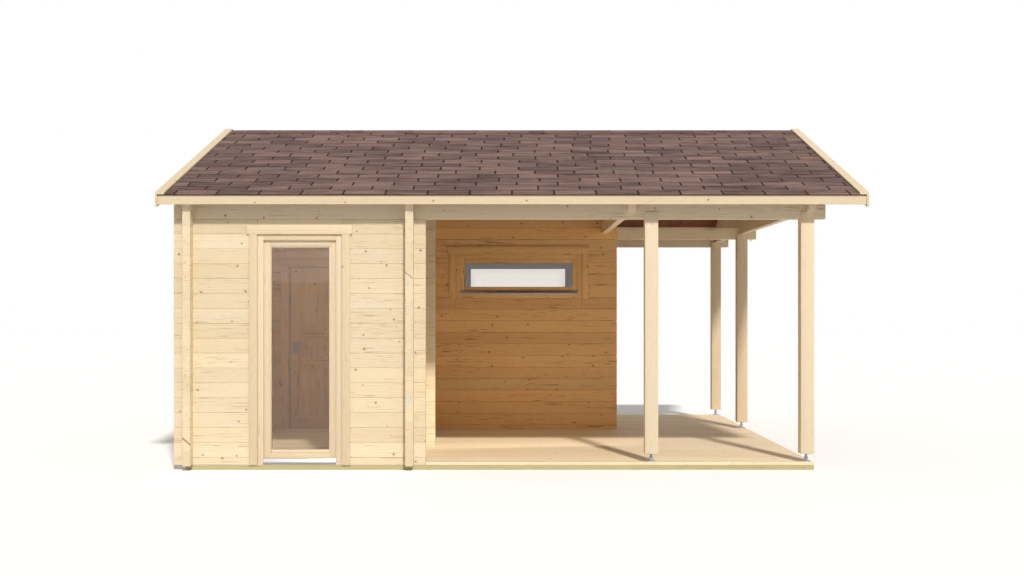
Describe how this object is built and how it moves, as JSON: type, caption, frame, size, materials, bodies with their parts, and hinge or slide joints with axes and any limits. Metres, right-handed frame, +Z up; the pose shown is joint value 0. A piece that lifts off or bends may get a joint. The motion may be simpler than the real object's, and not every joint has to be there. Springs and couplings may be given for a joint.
{
  "type": "sauna cabin with covered terrace",
  "caption": "Log-built sauna cabin under a shingled saddle roof, with a glazed front door, an inner door, strip windows and a covered L-shaped terrace on posts.",
  "frame": {"origin": "on the ground, in the middle of the roof's plan", "axes": "+X along the ridge towards the open terrace end, -Y towards the front with the glazed door, +Z up"},
  "size_m": [6.33, 5.406, 3.4409],
  "materials": {
    "treated_timber": "pressure-treated greenish softwood, sawn",
    "floor_boards": "planed spruce boards, untreated",
    "wall_logs": "planed spruce logs, untreated, with small knots",
    "posts": "planed laminated spruce",
    "roof_timber": "planed spruce, in shade",
    "trim_boards": "planed spruce trim",
    "joinery": "fine planed spruce, clear coat",
    "shingles": "mineral-surfaced bitumen shingles, brown blend",
    "galvanised_steel": "hot-dip galvanised",
    "pane": "clear insulating glass",
    "aluminium_rail": "anodised",
    "door_metal": "satin"
  },
  "bodies": {
    "root": {"bearers": "treated_timber", "joists": "treated_timber", "room_floors": "floor_boards", "terrace_floor": "floor_boards", "front_wall_left": "wall_logs", "front_wall_right": "wall_logs", "front_wall_over_door": "wall_logs", "front_plate": "wall_logs", "left_wall": "wall_logs", "partition_wall": "wall_logs", "stiffening_log_ends": "wall_logs", "inner_wall_left": "wall_logs", "inner_wall_over_door": "wall_logs", "inner_wall_right": "wall_logs", "side_wall": "wall_logs", "back_wall": "wall_logs", "back_plate": "wall_logs", "tie_beam": "wall_logs", "middle_beam": "wall_logs", "right_gable": "wall_logs", "posts": "posts", "post_feet": "galvanised_steel", "ridge_beam": "roof_timber", "purlins": "roof_timber", "roof_boards_front": "roof_timber", "roof_boards_back": "roof_timber", "shingles_front": "shingles", "shingles_back": "shingles", "ridge_cap": "shingles", "fascias": "trim_boards", "barge_boards": "trim_boards", "cover_boards": "trim_boards", "glazed_door_frame": "joinery", "glazed_door_drip_rail": "aluminium_rail", "glazed_door_casing": "trim_boards", "inner_door_frame": "joinery", "inner_door_casing": "trim_boards", "hinge_pins": "door_metal", "terrace_window_frame": "joinery", "terrace_window_casing": "trim_boards", "back_window_frame": "joinery", "back_window_casing": "trim_boards", "window_panes": "pane", "window_drip_rails": "aluminium_rail"},
    "glazed_door": {"glazed_door_leaf": "joinery", "glazed_door_pane": "pane", "glazed_door_handle": "door_metal"},
    "inner_door": {"inner_door_leaf": "joinery", "inner_door_plates": "door_metal"},
    "inner_lever": {"inner_door_lever": "door_metal"}
  },
  "joints": [
    {"name": "glazed_door_hinge", "type": "hinge", "parent": "root", "child": "glazed_door", "pos_m": [-1.5705, -2.45, 0.087], "axis": [0, 0, -1], "range_deg": [0, 90]},
    {"name": "inner_door_hinge", "type": "hinge", "parent": "root", "child": "inner_door", "pos_m": [-1.7765, 0.62, 0.076], "axis": [0, 0, 1], "range_deg": [0, 90]},
    {"name": "inner_lever_turn", "type": "hinge", "parent": "inner_door", "child": "inner_lever", "pos_m": [-2.502, 0.65, 1.041], "axis": [0, 1, 0], "range_deg": [0, 45], "stiffness_Nm_per_rad": 0.6, "springref_deg": -28.65}
  ]
}
